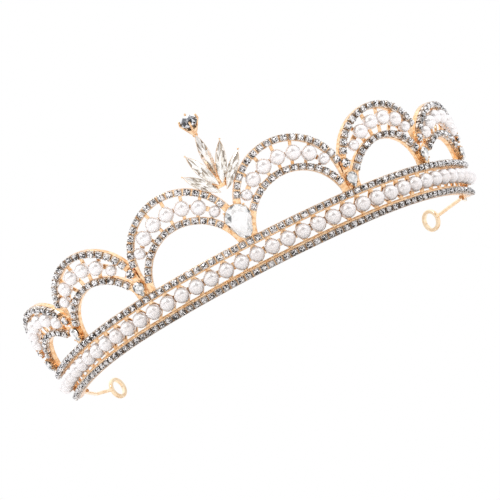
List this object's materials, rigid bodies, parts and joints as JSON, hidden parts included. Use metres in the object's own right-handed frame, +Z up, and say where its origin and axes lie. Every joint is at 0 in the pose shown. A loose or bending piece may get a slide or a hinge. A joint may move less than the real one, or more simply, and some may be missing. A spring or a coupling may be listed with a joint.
{
  "type": "bridal crown",
  "caption": "Open-backed bridal crown: gold arches on a band, pearls between rows of claw-set rhinestones, a centre drop crystal under a fan of slender crystals, and wire rings at the ends.",
  "frame": {"origin": "centre of the bounding box at the table the crown stands on", "axes": "+X towards the viewer's right when the crown faces them, -Y towards the front, +Z up"},
  "size_m": [0.1572, 0.0958, 0.0527],
  "materials": {
    "gold": "polished light rose-gold plate",
    "wire_gold": "polished pale gold wire",
    "silver_cup": "bright plated claw cup",
    "pearl": "white nacre with a soft gloss",
    "rhinestone": "clear foil-backed faceted glass",
    "centre_crystal": "clear foil-backed faceted glass",
    "fan_crystal": "clear faceted glass with a champagne cast",
    "crest_crystal": "clear foil-backed faceted glass"
  },
  "bodies": {
    "root": {"arch_cups_large_left": "silver_cup", "arch_cups_large_right": "silver_cup", "arch_cups_medium_left": "silver_cup", "arch_cups_medium_right": "silver_cup", "arch_cups_small_left": "silver_cup", "arch_cups_small_right": "silver_cup", "arch_frame_large_left": "gold", "arch_frame_large_right": "gold", "arch_frame_medium_left": "gold", "arch_frame_medium_right": "gold", "arch_frame_small_left": "gold", "arch_frame_small_right": "gold", "arch_pearls_large_left": "pearl", "arch_pearls_large_right": "pearl", "arch_pearls_medium_left": "pearl", "arch_pearls_medium_right": "pearl", "arch_pearls_small_left": "pearl", "arch_pearls_small_right": "pearl", "arch_rhinestones_large_left": "rhinestone", "arch_rhinestones_large_right": "rhinestone", "arch_rhinestones_medium_left": "rhinestone", "arch_rhinestones_medium_right": "rhinestone", "arch_rhinestones_small_left": "rhinestone", "arch_rhinestones_small_right": "rhinestone", "band_frame": "gold", "band_lower_cups": "silver_cup", "band_lower_rhinestones": "rhinestone", "band_pearls": "pearl", "band_upper_cups": "silver_cup", "band_upper_rhinestones": "rhinestone", "centre_crystal": "centre_crystal", "centre_setting": "gold", "crest_crystal": "crest_crystal", "crest_cup": "gold", "end_loop_left": "wire_gold", "end_loop_right": "wire_gold", "end_tab_left": "gold", "end_tab_right": "gold", "fan_bracket": "gold", "junction_drop_settings": "gold", "junction_drop_stones": "rhinestone", "junction_round_settings": "gold", "junction_round_stones": "rhinestone", "marquise_crystal_centre": "fan_crystal", "marquise_crystal_inner_left": "fan_crystal", "marquise_crystal_inner_right": "fan_crystal", "marquise_crystal_outer_left": "fan_crystal", "marquise_crystal_outer_right": "fan_crystal", "marquise_setting_centre": "gold", "marquise_setting_inner_left": "gold", "marquise_setting_inner_right": "gold", "marquise_setting_outer_left": "gold", "marquise_setting_outer_right": "gold"}
  },
  "joints": []
}
